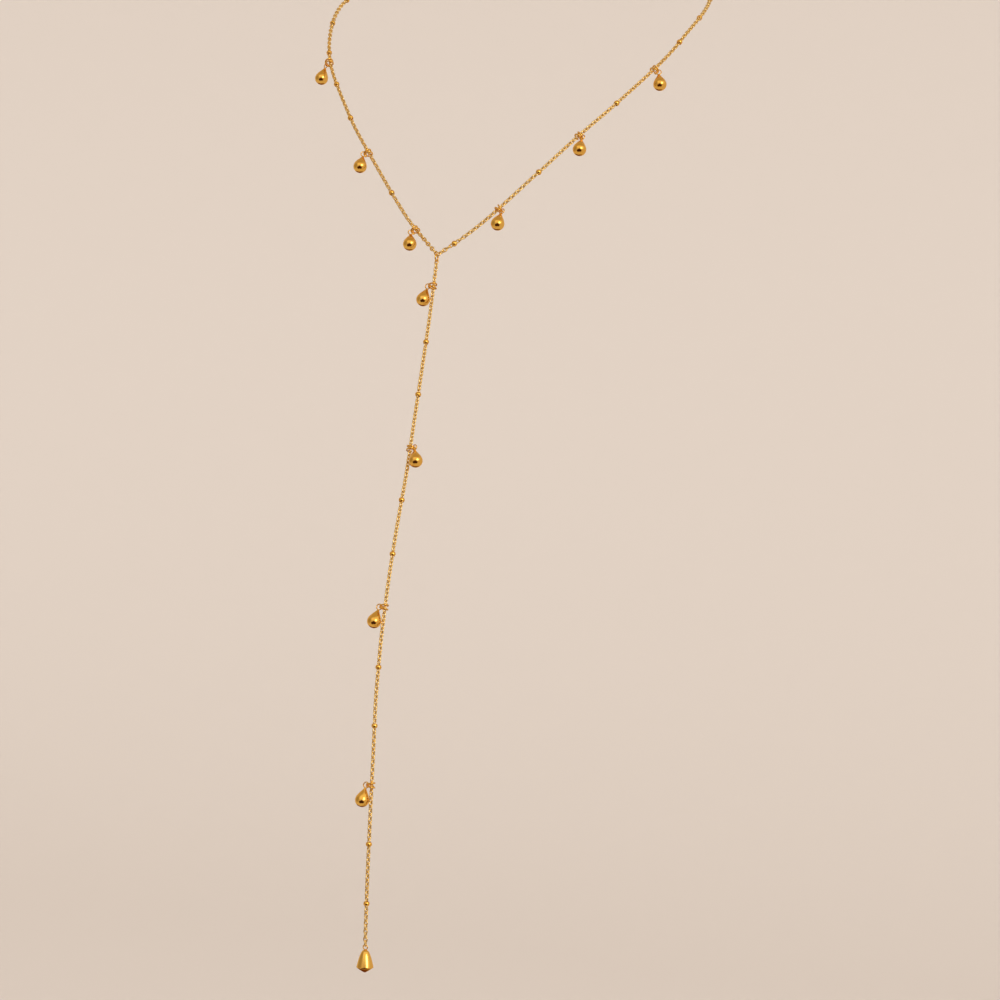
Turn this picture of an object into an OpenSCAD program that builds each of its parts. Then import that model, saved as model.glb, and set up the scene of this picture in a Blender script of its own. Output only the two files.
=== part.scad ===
// Lariat necklace in its worn form: a neck loop that meets at a small ring at the front, a
// tail that hangs from that ring, small round beads at even stations along the chain, ten
// small pear drops on two-turn rings and one larger drop at the tail's end.
// Millimetres. The origin is at the nape, where the loop hangs. +Z is up, -Y is the front and
// +X is at the right of the front view.

/* [Neck loop] */
// Width of the loop round the neck
loop_width = 106; // [98:1:116]
// Depth of the loop, from the nape to the junction
loop_depth = 118; // [110:1:130]
// Height of the nape over the junction
loop_rise = 80; // [72:1:90]

/* [Chain] */
// Diameter of the chain's body
chain_d = 0.9; // [0.8:0.05:1]
// Wire of the chain's end links
link_wire = 0.28; // [0.24:0.01:0.32]
// Length of chain from one station to the next
station_pitch = 15; // [13.5:0.25:15.5]
// Chain from the junction to the first station at the right
right_first = 6.1; // [5:0.1:8]
// Chain from the junction to the first station at the left
left_first = 10.8; // [9:0.1:12]
// Chain from the junction to the first station of the tail
tail_first = 9.2; // [7:0.1:10]
// Chain from the junction to the wire that the end drop hangs on
tail_length = 185; // [182:0.2:196]

/* [Beads] */
// Diameter of a bead
bead_d = 1.6; // [1.5:0.05:2]

/* [Small drops] */
// Width of a small drop
drop_w = 3.7; // [3:0.1:3.8]
// Height of a small drop's body
drop_h = 5; // [4.5:0.1:5.6]
// Wire of a small drop's eye
eye_wire = 0.28; // [0.26:0.01:0.36]
// Wire of the two-turn ring that a small drop hangs on
ring_wire = 0.36; // [0.3:0.01:0.4]
// Gap between the chain and the drop's eye
eye_gap = 0.25; // [0.16:0.01:0.3]
// Play between the ring and the drop's eye
ring_play = 0.2; // [0.16:0.01:0.25]
// Opening between the ring's two turns, on the chain's far side
ring_spread = 1.2; // [0.8:0.05:1.4]

/* [End drop] */
// Width of the end drop
end_drop_w = 4.4; // [3.8:0.1:5]
// Height of the end drop's body
end_drop_h = 5.9; // [5:0.1:7]
// Wire of the end drop's eye
end_eye_wire = 0.28; // [0.26:0.01:0.36]

/* [Junction] */
// Outer diameter of the junction ring
junction_d = 2.3; // [2.2:0.05:2.8]
// Wire of the junction ring
junction_wire = 0.4; // [0.36:0.01:0.44]

/* [Clasp] */
// Length of the clasp's barrel
clasp_length = 8; // [6:0.5:12]
// Diameter of the clasp's barrel
clasp_d = 2.6; // [2:0.1:3.2]
// Wire of the clasp's two eyes
clasp_wire = 0.4; // [0.36:0.01:0.44]

/* [Fits] */
// Clearance between pieces that hold each other
fit_gap = 0.1; // [0.08:0.01:0.12]

/* [Hidden] */
RIGHT = 0;
LEFT = 1;
TAIL = 2;
STRANDS = ["right", "left", "tail"];

// Routes of the three chains from the junction on, in the worn form, for a loop of the size
// below. The two neck chains end at the nape, and the tail's route runs on past its longest
// length.
ROUTE_SIZE = [106, 118, 80];
ROUTES = [
    [[0, -118, -80], [7, -113.5, -74], [13.5, -109.5, -68], [19.5, -105.5, -61.5],
     [25.5, -100.5, -55], [31, -95, -48.5], [36.5, -89, -42.5], [41.5, -82.5, -36.5],
     [45.5, -75.5, -31], [49, -68, -25.5], [51, -60, -20], [52, -51, -15.5],
     [52, -42, -11.5], [50, -32.5, -8], [46, -23, -5], [38, -13.5, -2.5],
     [27, -6, -1], [14, -1.5, 0], [0, 0, 0]],
    [[0, -118, -80], [-7, -114, -74], [-13.5, -110.5, -67], [-19.5, -107, -60],
     [-25.5, -103, -53], [-31.5, -98.5, -46.5], [-37, -93, -40], [-42, -87.5, -34],
     [-47, -81, -28], [-50.5, -74, -22], [-53, -66, -16], [-54.5, -57.5, -11],
     [-54, -48.5, -7], [-52, -39, -4], [-47.5, -28.5, -2], [-39.5, -17.5, -1],
     [-28, -8.5, 0], [-14.5, -2.5, 0], [0, 0, 0]],
    [[0, -118, -80], [1, -126.5, -98], [1.5, -135.5, -116], [2.5, -145, -133.5],
     [3, -155, -151], [3.5, -163.5, -169], [4, -170, -187.5], [5, -175, -207],
     [5.5, -179, -226.5], [6, -182.5, -248], [6, -182.5, -262], [6, -182.5, -276],
     [6, -182.5, -290]]
];

// Stations that hold a bead, counted from 0 at each strand's first station.
BEAD_STATIONS = [
    [0, 2, 4, 6, 7, 8, 9, 10, 11],
    [1, 3, 4, 5, 6, 7, 8, 9, 10, 11],
    [1, 2, 4, 5, 7, 8, 10, 11]
];

// Small drops: the station, how far past it the ring sits, the side of the chain that the
// drop hangs to, how far its eye has rolled to the front of the chain, and its swing from the
// slope's fall line to the right. Angles are in degrees.
STATION = 0;
PAST = 1;
SIDE = 2;
ROLL = 3;
SWING = 4;
SMALL_DROPS = [
    [[1, 0.2, 1, 24, -8], [3, 0.2, 1, 43, -8], [5, 1.2, 1, 33, -6]],
    [[0, 0.6, -1, 25, 10], [2, 0.3, -1, 48, -3], [5, -4.4, -1, 16, 4]],
    [[0, -1.1, 1, -1, -11], [3, 0.4, -1, 25, 17], [6, -0.7, 1, -2, -13], [9, 0.1, 1, -7, -12]]
];

FIRST_STATION = [right_first, left_first, tail_first];
junction = [0, -loop_depth, -loop_rise];
neck_centre = [0, -0.45 * loop_depth, 0];
surface_rise = 30;

CURVE_STEPS = 6;
TUBE_SIDES = 8;
WIRE_SIDES = 6;
TURN_STEPS = 16;
end_taper = 0.6;
neck_taper_d = 0.6;

// Form of a drop: the base's depth as a share of the width, how slowly the flank widens at the
// tip, how softly it turns in at the belly, and how pointed the base is: 1 for a dome and 2
// for a cone.
DOME = 0;
TIP = 1;
TURN = 2;
POINT = 3;
SMALL_FORM = [0.48, 1.35, 2, 1];
END_FORM = [0.32, 0.5, 1, 1.75];
drop_tip_r = 0.3;
PROFILE_STEPS = 9;
$fn = 48;

// How steeply the chain may run to the wire that its end link holds.
hook_lean = 26;
link_r = (junction_wire / 2 + fit_gap + link_wire / 2) / cos(hook_lean);
junction_r = (junction_d - junction_wire) / 2;
// Places of the three end links on the junction ring, in degrees from its top to the back.
JUNCTION_HOOKS = [40, 0, 180];

// The two-turn ring holds the chain and the drop's eye side by side.
turn_gap = 0.06;
ring_half_low = (ring_wire + turn_gap) / 2;
ring_half_high = ring_spread / 2;
hook_reach = chain_d / 2 + eye_gap + eye_wire + ring_play + ring_wire / 2;
ring_r = (hook_reach + chain_d / 2 + fit_gap + ring_wire / 2) / 2;
eye_room = ring_play + ring_wire / 2;
eye_hold = ring_wire / 2 + 0.08;
eye_inner_r = 0.1 + (eye_room * eye_room + ring_half_low * ring_half_low - eye_hold * eye_hold)
    / (2 * (eye_room - eye_hold));
eye_r = eye_inner_r + eye_wire / 2;
eye_reach = chain_d / 2 + eye_gap + eye_wire + eye_inner_r;
RING_START = 25;
RING_CROSS = 45;

end_eye_r = link_wire / 2 + 2 * fit_gap + 0.12 + end_eye_wire / 2;
end_eye_drop = end_eye_r - end_eye_wire / 2 - link_wire / 2 - 0.06;

bore_d = chain_d + 2 * fit_gap;
clasp_eye_r = link_r;
clasp_eye_x = clasp_length / 2 + clasp_eye_r - clasp_wire / 4;
clasp_link_x = clasp_eye_r + link_r - (clasp_wire + link_wire) / 2 - fit_gap;
clasp_chamfer = 0.7;

function unit(v) = v / norm(v);

// A smooth curve through a route's points, and its lookup tables against length.
function route_point(p, i) =
    i < 0 ? 2 * p[0] - p[1] : i > len(p) - 1 ? 2 * p[len(p) - 1] - p[len(p) - 2] : p[i];
function blend(a, b, c, d, t) =
    (2 * b + (c - a) * t + (2 * a - 5 * b + 4 * c - d) * t * t + (3 * b - a - 3 * c + d) * t * t * t) / 2;
function smooth(p) = concat(
    [for (i = [0 : len(p) - 2]) for (k = [0 : CURVE_STEPS - 1])
        blend(route_point(p, i - 1), p[i], p[i + 1], route_point(p, i + 2), k / CURVE_STEPS)],
    [p[len(p) - 1]]);
function lengths(c) =
    [for (i = 0, s = 0; i < len(c); i = i + 1, s = i < len(c) ? s + norm(c[i] - c[i - 1]) : s) s];
function table(c, s) = [for (axis = [0 : 2]) [for (i = [0 : len(c) - 1]) [s[i], c[i][axis]]]];
function at_size(p) = [for (q = p)
    [q.x * loop_width / ROUTE_SIZE.x, q.y * loop_depth / ROUTE_SIZE.y, q.z * loop_rise / ROUTE_SIZE.z]];
CURVES = [for (r = ROUTES) smooth(at_size(r))];
TABLES = [for (c = CURVES) table(c, lengths(c))];
function along(strand, s) = [for (axis = [0 : 2]) lookup(s, TABLES[strand][axis])];
function route_length(strand) = let (t = TABLES[strand][0]) t[len(t) - 1][0];

// Where each strand's tube bends: clear of its stations, and seldom on the tail, which is
// nearly straight.
function bend_step(strand) = strand == TAIL ? station_pitch : station_pitch / 2;
function bends(strand, stop) =
    [for (s = FIRST_STATION[strand] + bend_step(strand) / 2; s < stop - 2; s = s + bend_step(strand)) s];
function strand_stop(strand) =
    strand == TAIL ? tail_length : route_length(strand) - clasp_eye_x - clasp_link_x - link_r;
BENDS = [for (s = [RIGHT : TAIL]) bends(s, strand_stop(s))];

// The end link at the junction, and the one at the clasp or at the tail's end.
function hook_place(strand) = junction
    + junction_r * [0, sin(JUNCTION_HOOKS[strand]), cos(JUNCTION_HOOKS[strand])];
function start_way(strand) = unit(along(strand, BENDS[strand][0]) - hook_place(strand));
function last_bend(strand) = along(strand, BENDS[strand][len(BENDS[strand]) - 1]);
function clasp_eye(strand) = [(strand == RIGHT ? 1 : -1) * clasp_eye_x, 0, 0];
hinge = along(TAIL, tail_length);
function end_way(strand) =
    unit(strand == TAIL ? hinge - last_bend(TAIL) : clasp_eye(strand) - last_bend(strand));
function end_link(strand) = strand == TAIL
    ? hinge - link_r * end_way(TAIL)
    : clasp_eye(strand) - clasp_link_x * end_way(strand);

// The tube's centres, each with its length along the route.
function tube_start(strand) = hook_place(strand) + link_r * start_way(strand);
function tube_end(strand) = end_link(strand) - link_r * end_way(strand);
function tube_points(strand) = concat(
    [tube_start(strand), tube_start(strand) + end_taper * start_way(strand)],
    [for (s = BENDS[strand]) along(strand, s)],
    [tube_end(strand) - end_taper * end_way(strand), tube_end(strand)]);
function tube_arcs(strand) = let (p = tube_points(strand), b = BENDS[strand]) concat(
    [b[0] - norm(p[2] - p[0]), b[0] - norm(p[2] - p[1])],
    b,
    [b[len(b) - 1] + norm(p[len(p) - 2] - p[len(p) - 3]),
     b[len(b) - 1] + norm(p[len(p) - 1] - p[len(p) - 3])]);
POINTS = [for (s = [RIGHT : TAIL]) tube_points(s)];
ARCS = [for (s = [RIGHT : TAIL]) tube_arcs(s)];

// A place on a strand's tube and the chain's direction there, away from the junction.
function stretch(strand, s) = max([for (i = [0 : len(ARCS[strand]) - 2]) if (ARCS[strand][i] <= s) i]);
function chain_way(strand, s) =
    let (i = stretch(strand, s)) unit(POINTS[strand][i + 1] - POINTS[strand][i]);
function chain_place(strand, s) =
    let (i = stretch(strand, s)) POINTS[strand][i] + (s - ARCS[strand][i]) * chain_way(strand, s);
function station(strand, k) = FIRST_STATION[strand] + k * station_pitch;

// Outwards from the inside of the worn form, square to the chain.
function outward(place, way) =
    let (level = unit([place.x - neck_centre.x, place.y - neck_centre.y, 0]),
         away = cos(surface_rise) * level + [0, 0, sin(surface_rise)])
    unit(away - (away * way) * way);
// Down the slope that an outward direction stands on, turned by swing degrees to the right.
function fall(out, swing) =
    let (down = unit([0, 0, -1] + out.z * out)) cos(swing) * down + sin(swing) * cross(out, down);

// A small drop's hold on the chain: the chain's place there, the ring's axis, the direction
// from the chain to the drop's eye, the ring's direction through the eye, and the drop's own.
PLACE = 0;
AXIS = 1;
HOOK = 2;
THROUGH = 3;
HANG = 4;
function hold(strand, row) =
    let (s = station(strand, row[STATION]) + row[PAST],
         way = chain_way(strand, s),
         out = outward(chain_place(strand, s), way),
         beside = row[SIDE] * cross(way, out),
         hook = cos(row[ROLL]) * beside + sin(row[ROLL]) * out,
         through = cos(row[ROLL]) * out - sin(row[ROLL]) * beside,
         down = fall(out, row[SWING]))
    [chain_place(strand, s), -row[SIDE] * way, hook, through,
     unit(down - 0.5 * (down * through) * through)];

module place_at(origin, x_way, z_way) {
    y_way = cross(z_way, x_way);
    multmatrix([
        [x_way.x, y_way.x, z_way.x, origin.x],
        [x_way.y, y_way.y, z_way.y, origin.y],
        [x_way.z, y_way.z, z_way.z, origin.z],
        [0, 0, 0, 1]
    ]) children();
}

module torus(r, wire) {
    rotate_extrude() translate([r, 0]) circle(d = wire, $fn = 24);
}

// One closed surface through rings of points that all have the same number of sides.
module sweep_rings(rings) {
    sides = len(rings[0]);
    last = len(rings) - 1;
    polyhedron(
        points = [for (ring = rings) for (p = ring) p],
        faces = concat(
            [[for (k = [0 : sides - 1]) k]],
            [for (i = [0 : last - 1]) for (k = [0 : sides - 1]) let (n = (k + 1) % sides)
                for (corners = [[i * sides + k, (i + 1) * sides + k, (i + 1) * sides + n],
                                [i * sides + k, (i + 1) * sides + n, i * sides + n]]) corners],
            [[for (k = [sides - 1 : -1 : 0]) last * sides + k]]),
        convexity = 10);
}

module chain_tube(strand) {
    p = POINTS[strand];
    last = len(p) - 1;
    side_of = strand == TAIL ? [1, 0, 0] : [0, 0, 1];
    rings = [for (i = [0 : last])
        let (way = unit(p[min(i + 1, last)] - p[max(i - 1, 0)]),
             across = unit(cross(side_of, way)),
             over = cross(way, across),
             r = (i == 0 || i == last ? neck_taper_d : chain_d) / 2)
        [for (k = [0 : TUBE_SIDES - 1]) let (a = (k + 0.5) * 360 / TUBE_SIDES)
            p[i] + r * (cos(a) * across + sin(a) * over)]];
    sweep_rings(rings);
}

// An end link lies in the plane of the chain's direction and stands square to the wire.
module chain_link(centre, way, wire_way) {
    flat = unit(wire_way - (wire_way * way) * way);
    place_at(centre, way, flat) torus(link_r, link_wire);
}

module chain(strand) {
    hook_angle = JUNCTION_HOOKS[strand];
    junction_wire_way = [0, cos(hook_angle), -sin(hook_angle)];
    last_wire_way = strand == TAIL ? [1, 0, 0] : [0, 0, 1];
    color("goldenrod") union() {
        chain_tube(strand);
        chain_link(hook_place(strand), start_way(strand), junction_wire_way);
        chain_link(end_link(strand), end_way(strand), last_wire_way);
    }
}

module neck_chain_right() { chain(RIGHT); }
module neck_chain_left() { chain(LEFT); }
module tail_chain() { chain(TAIL); }

module junction_ring() {
    color("goldenrod") place_at(junction, [0, 0, 1], [1, 0, 0]) torus(junction_r, junction_wire);
}

// A plain barrel with an eye at each end.
module clasp() {
    half = clasp_length / 2;
    r = clasp_d / 2;
    color("goldenrod") union() {
        rotate([0, 90, 0]) rotate_extrude()
            polygon([[0, -half], [r - clasp_chamfer, -half], [r, clasp_chamfer - half],
                     [r, half - clasp_chamfer], [r - clasp_chamfer, half], [0, half]]);
        for (side = [-1, 1]) translate([side * clasp_eye_x, 0, 0])
            rotate([90, 0, 0]) torus(clasp_eye_r, clasp_wire);
    }
}

module bead(strand, k) {
    s = station(strand, k);
    way = chain_way(strand, s);
    across = unit(cross(strand == TAIL ? [1, 0, 0] : [0, 0, 1], way));
    color("goldenrod") place_at(chain_place(strand, s), across, way) difference() {
        sphere(d = bead_d);
        cylinder(d = bore_d, h = 2 * bead_d, center = true);
    }
}

// A pear: a flank that widens all the way down to the belly, and the base below it.
function pear_profile(w, h, form) =
    let (belly = h - form[DOME] * w, r = w / 2)
    concat(
        [[0, 0]],
        [for (i = [0 : PROFILE_STEPS]) let (t = pow(i / PROFILE_STEPS, 1.6))
            [drop_tip_r + (r - drop_tip_r) * (1 - pow(1 - pow(t, form[TIP]), form[TURN])), -belly * t]],
        [for (i = [1 : PROFILE_STEPS - 1]) let (a = 90 * i / PROFILE_STEPS)
            [r * pow(cos(a), form[POINT]), -belly - (h - belly) * pow(sin(a), form[POINT])]],
        [[0, -h]]);

// A pear with its eye: the eye's centre is the origin, its hole runs along Y, and the body
// hangs down from it along -Z.
module pear_drop(w, h, form, eye_mid_r, wire) {
    color("goldenrod") union() {
        translate([0, 0, -eye_mid_r]) rotate_extrude() polygon(pear_profile(w, h, form));
        rotate([90, 0, 0]) torus(eye_mid_r, wire);
    }
}

module small_drop(strand, row) {
    h = hold(strand, row);
    hang = h[HANG];
    place_at(h[PLACE] + eye_reach * h[HOOK], unit(cross(h[THROUGH], hang)), -hang)
        pear_drop(drop_w, drop_h, SMALL_FORM, eye_r, eye_wire);
}

// The two-turn ring: its axis is Z, the drop's eye hooks on at +X and its ends meet at -Y.
function turn_side(a) = let (t = (a - 270) / RING_CROSS) sin(90 * min(max(t, -1), 1));
function turn_height(a) =
    turn_side(a) * (ring_half_low + (ring_half_high - ring_half_low) * (1 - cos(a)) / 2);
module two_turn_ring() {
    start = RING_START - 90;
    sweep = 720 - 2 * RING_START;
    steps = 2 * TURN_STEPS;
    sweep_rings([for (i = [0 : steps]) let (a = start + sweep * i / steps)
        [for (k = [0 : WIRE_SIDES - 1]) let (b = -360 * k / WIRE_SIDES,
                                             r = ring_r + ring_wire / 2 * cos(b))
            [r * cos(a), r * sin(a), turn_height(a) + ring_wire / 2 * sin(b)]]]);
}

module drop_ring(strand, row) {
    h = hold(strand, row);
    color("goldenrod") place_at(h[PLACE] + (hook_reach - ring_r) * h[HOOK], h[HOOK], h[AXIS])
        two_turn_ring();
}

// The end drop swings to the sides about the end link's wire, and hangs straight.
module end_drop() {
    way = end_way(TAIL);
    hang = unit([0, way.y, way.z]);
    place_at(hinge + end_eye_drop * hang, [1, 0, 0], -hang)
        pear_drop(end_drop_w, end_drop_h, END_FORM, end_eye_r, end_eye_wire);
}

neck_chain_right();
neck_chain_left();
tail_chain();
junction_ring();
clasp();
end_drop();
for (s = [RIGHT : TAIL]) for (i = [1 : len(BEAD_STATIONS[s])])
    bead(s, BEAD_STATIONS[s][i - 1]);
for (s = [RIGHT : TAIL]) for (i = [1 : len(SMALL_DROPS[s])])
    drop_ring(s, SMALL_DROPS[s][i - 1]);
for (s = [RIGHT : TAIL]) for (i = [1 : len(SMALL_DROPS[s])])
    small_drop(s, SMALL_DROPS[s][i - 1]);
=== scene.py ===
# %% [markdown]
# # A gold lariat necklace
# The necklace is a fine cable chain in a closed loop, in its worn form. Its two sides meet at
# a small ring at the front, and one more length of chain hangs from that ring. Small round
# beads sit at even stations along the chain. Pear drops hang from it on rings of two turns,
# and a larger drop ends the tail.
#
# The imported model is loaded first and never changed. Each piece below is made where the model
# has it, in metres, with more detail than the model needs.

import math

import bpy
from mathutils import Matrix, Vector


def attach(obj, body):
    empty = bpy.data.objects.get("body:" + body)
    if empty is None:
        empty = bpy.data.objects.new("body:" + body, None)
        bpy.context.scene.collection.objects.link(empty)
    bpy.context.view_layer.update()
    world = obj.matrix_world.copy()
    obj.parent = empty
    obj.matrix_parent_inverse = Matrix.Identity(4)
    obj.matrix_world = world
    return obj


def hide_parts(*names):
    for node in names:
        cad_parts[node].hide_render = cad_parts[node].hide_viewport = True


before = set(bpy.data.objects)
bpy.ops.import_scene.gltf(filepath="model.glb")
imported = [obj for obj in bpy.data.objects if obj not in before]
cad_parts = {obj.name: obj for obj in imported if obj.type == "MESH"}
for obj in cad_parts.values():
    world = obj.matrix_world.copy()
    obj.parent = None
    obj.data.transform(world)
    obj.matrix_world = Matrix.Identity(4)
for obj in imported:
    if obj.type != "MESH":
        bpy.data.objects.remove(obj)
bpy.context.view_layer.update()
MM = 0.001
NECKLACE = "necklace"
END_DROP = "end_drop"

# %% [markdown]
# ## The path of the chain
# A worn chain is a curve in space, so the path comes before the links. The same points
# as in the part's source are written here, and the same steps follow: a smooth curve
# through the points, a table of its length, and a chain that bends only between stations. A
# last step rounds those bends, because real links turn a little at a time.

# %% Points of the three chains
RIGHT, LEFT, TAIL = "right", "left", "tail"
ROUTES = {
    RIGHT: [(0, -118, -80), (7, -113.5, -74), (13.5, -109.5, -68), (19.5, -105.5, -61.5),
            (25.5, -100.5, -55), (31, -95, -48.5), (36.5, -89, -42.5), (41.5, -82.5, -36.5),
            (45.5, -75.5, -31), (49, -68, -25.5), (51, -60, -20), (52, -51, -15.5),
            (52, -42, -11.5), (50, -32.5, -8), (46, -23, -5), (38, -13.5, -2.5),
            (27, -6, -1), (14, -1.5, 0), (0, 0, 0)],
    LEFT: [(0, -118, -80), (-7, -114, -74), (-13.5, -110.5, -67), (-19.5, -107, -60),
           (-25.5, -103, -53), (-31.5, -98.5, -46.5), (-37, -93, -40), (-42, -87.5, -34),
           (-47, -81, -28), (-50.5, -74, -22), (-53, -66, -16), (-54.5, -57.5, -11),
           (-54, -48.5, -7), (-52, -39, -4), (-47.5, -28.5, -2), (-39.5, -17.5, -1),
           (-28, -8.5, 0), (-14.5, -2.5, 0), (0, 0, 0)],
    TAIL: [(0, -118, -80), (1, -126.5, -98), (1.5, -135.5, -116), (2.5, -145, -133.5),
           (3, -155, -151), (3.5, -163.5, -169), (4, -170, -187.5), (5, -175, -207),
           (5.5, -179, -226.5), (6, -182.5, -248), (6, -182.5, -262), (6, -182.5, -276),
           (6, -182.5, -290)],
}
ROUTES = {strand: [Vector(p) * MM for p in points] for strand, points in ROUTES.items()}

LOOP_DEPTH = 118 * MM
PITCH = 15 * MM
FIRST_STATION = {RIGHT: 6.1 * MM, LEFT: 10.8 * MM, TAIL: 9.2 * MM}
TAIL_LENGTH = 185 * MM
CHAIN_D = 0.9 * MM
LINK_WIRE = 0.28 * MM
FIT_GAP = 0.1 * MM
print("route points:", {strand: len(points) for strand, points in ROUTES.items()})

# Stations that hold a bead.
BEAD_STATIONS = {
    RIGHT: [0, 2, 4, 6, 7, 8, 9, 10, 11],
    LEFT: [1, 3, 4, 5, 6, 7, 8, 9, 10, 11],
    TAIL: [1, 2, 4, 5, 7, 8, 10, 11],
}
# Station, millimetres past it, side of the chain, roll to the front, swing to the right.
SMALL_DROPS = {
    RIGHT: [(1, 0.2, 1, 24, -8), (3, 0.2, 1, 43, -8), (5, 1.2, 1, 33, -6)],
    LEFT: [(0, 0.6, -1, 25, 10), (2, 0.3, -1, 48, -3), (5, -4.4, -1, 16, 4)],
    TAIL: [(0, -1.1, 1, -1, -11), (3, 0.4, -1, 25, 17), (6, -0.7, 1, -2, -13),
           (9, 0.1, 1, -7, -12)],
}


# %% Smooth curves and their lengths
def smooth_curve(points, steps=6):
    """A curve through all the points, with each span in equal steps."""
    ends = [2 * points[0] - points[1]] + points + [2 * points[-1] - points[-2]]
    curve = []
    for a, b, c, d in zip(ends, ends[1:], ends[2:], ends[3:]):
        for k in range(steps):
            t = k / steps
            curve.append((2 * b + (c - a) * t + (2 * a - 5 * b + 4 * c - d) * t * t
                          + (3 * b - a - 3 * c + d) * t ** 3) / 2)
    return curve + [points[-1]]


def running_length(points):
    """The length along the points, at each of them."""
    total = [0.0]
    for p, q in zip(points, points[1:]):
        total.append(total[-1] + (q - p).length)
    return total


def point_at(points, lengths, s):
    """The place at length s along the points."""
    k = next(i for i in range(len(lengths) - 1) if s <= lengths[i + 1] or i == len(lengths) - 2)
    return points[k].lerp(points[k + 1], (s - lengths[k]) / (lengths[k + 1] - lengths[k]))


CURVES = {strand: smooth_curve(points) for strand, points in ROUTES.items()}
LENGTHS = {strand: running_length(curve) for strand, curve in CURVES.items()}
print("curve lengths in mm:", {s: round(v[-1] / MM, 1) for s, v in LENGTHS.items()})

# %% [markdown]
# ## Where the chains begin and end
# The junction is one small ring that stands upright. Three chains hold its wire: the right
# one towards the back of its top, the left one at its top and the tail at its bottom. At the
# nape both sides of the loop hold the eyes of the clasp, and the tail ends in the link that
# carries the end drop.

# %% Ends of the chains
JUNCTION_D = 2.3 * MM
JUNCTION_WIRE = 0.4 * MM
JUNCTION_R = (JUNCTION_D - JUNCTION_WIRE) / 2
JUNCTION_HOOKS = {RIGHT: math.radians(40), LEFT: 0.0, TAIL: math.pi}
CLASP_LENGTH = 8 * MM
CLASP_D = 2.6 * MM
CLASP_WIRE = 0.4 * MM
HOOK_LEAN = math.radians(26)
LINK_R = (JUNCTION_WIRE / 2 + FIT_GAP + LINK_WIRE / 2) / math.cos(HOOK_LEAN)
CLASP_EYE_R = LINK_R
CLASP_EYE_X = CLASP_LENGTH / 2 + CLASP_EYE_R - CLASP_WIRE / 4
CLASP_LINK_X = CLASP_EYE_R + LINK_R - (CLASP_WIRE + LINK_WIRE) / 2 - FIT_GAP
JUNCTION = ROUTES[RIGHT][0]
HINGE = point_at(CURVES[TAIL], LENGTHS[TAIL], TAIL_LENGTH)


def hook_place(strand):
    """The middle of the junction ring's wire where a strand holds it."""
    turn = JUNCTION_HOOKS[strand]
    return JUNCTION + JUNCTION_R * Vector((0, math.sin(turn), math.cos(turn)))


def far_end(strand):
    """The place that a strand runs to: the clasp's eye, or the end drop's hinge."""
    if strand == TAIL:
        return HINGE.copy()
    return Vector(((1 if strand == RIGHT else -1) * CLASP_EYE_X, 0, 0))


def bend_lengths(strand):
    """Lengths at which a strand's tube bends in the model."""
    step = PITCH if strand == TAIL else PITCH / 2
    stop = TAIL_LENGTH if strand == TAIL else (
        LENGTHS[strand][-1] - CLASP_EYE_X - CLASP_LINK_X - LINK_R)
    bends = [FIRST_STATION[strand] + step / 2]
    while bends[-1] + step < stop - 2 * MM:
        bends.append(bends[-1] + step)
    return bends


BENDS = {strand: bend_lengths(strand) for strand in ROUTES}
CORNERS = {strand: [hook_place(strand)]
           + [point_at(CURVES[strand], LENGTHS[strand], s) for s in BENDS[strand]]
           + [far_end(strand)] for strand in ROUTES}
print("corners:", {strand: len(points) for strand, points in CORNERS.items()},
      "hinge in mm:", [round(v / MM, 2) for v in HINGE])


# %% Places and directions along a chain
NECK_CENTRE = Vector((0, -0.45 * LOOP_DEPTH, 0))
SURFACE_RISE = math.radians(30)


def chain_place(strand, s):
    """The chain's place and direction at length s, where s starts at the junction."""
    bends, corners = BENDS[strand], CORNERS[strand]
    k = sum(1 for b in bends if b <= s)
    way = (corners[k + 1] - corners[k]).normalized()
    if k == 0:
        return corners[1] - way * (bends[0] - s), way
    return corners[k] + way * (s - bends[k - 1]), way


def outward(place, way):
    """Outwards from the middle of the loop, square to the chain."""
    level = Vector((place.x - NECK_CENTRE.x, place.y - NECK_CENTRE.y, 0)).normalized()
    away = level * math.cos(SURFACE_RISE) + Vector((0, 0, math.sin(SURFACE_RISE)))
    return (away - away.dot(way) * way).normalized()


def rounded_path(strand, start, stop, steps=5):
    """The chain's path with its bends rounded, from start to stop on its first and last stretch."""
    corners = CORNERS[strand]
    path = [start]
    for before, corner, after in zip(corners, corners[1:], corners[2:]):
        reach = PITCH / 4
        back = (before - corner).normalized() * min(reach, (before - corner).length * 0.45)
        on = (after - corner).normalized() * min(reach, (after - corner).length * 0.45)
        for k in range(steps + 1):
            t = k / steps
            path.append(corner + (1 - t) ** 2 * back + t ** 2 * on)
    return path + [stop]


print("first stations in mm:", {strand: [round(v / MM, 1) for v in chain_place(strand, s)[0]]
                                for strand, s in FIRST_STATION.items()})


# %% [markdown]
# ## The camera
# The camera stands a little to the right of the front and looks slightly down, a long lens
# at arm's length. The junction of the three chains is the point that it is set from: so far
# away, so much to the side and so much lower.

# %% Camera
SENSOR = 36
LENS_SHARE = 3.0018
CAMERA_AZIMUTH, CAMERA_ELEVATION = math.radians(20.665), math.radians(6.995)
CAMERA_OFFSET = (16.917 * MM, -64.73 * MM, 801.84 * MM)


def camera_axes(azimuth, elevation):
    """Right, up and forward of a camera that looks along +Y when both angles are 0."""
    right = Vector((math.cos(azimuth), math.sin(azimuth), 0))
    forward = Vector((-math.sin(azimuth) * math.cos(elevation),
                      math.cos(azimuth) * math.cos(elevation), -math.sin(elevation)))
    return right, right.cross(forward), forward


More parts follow.
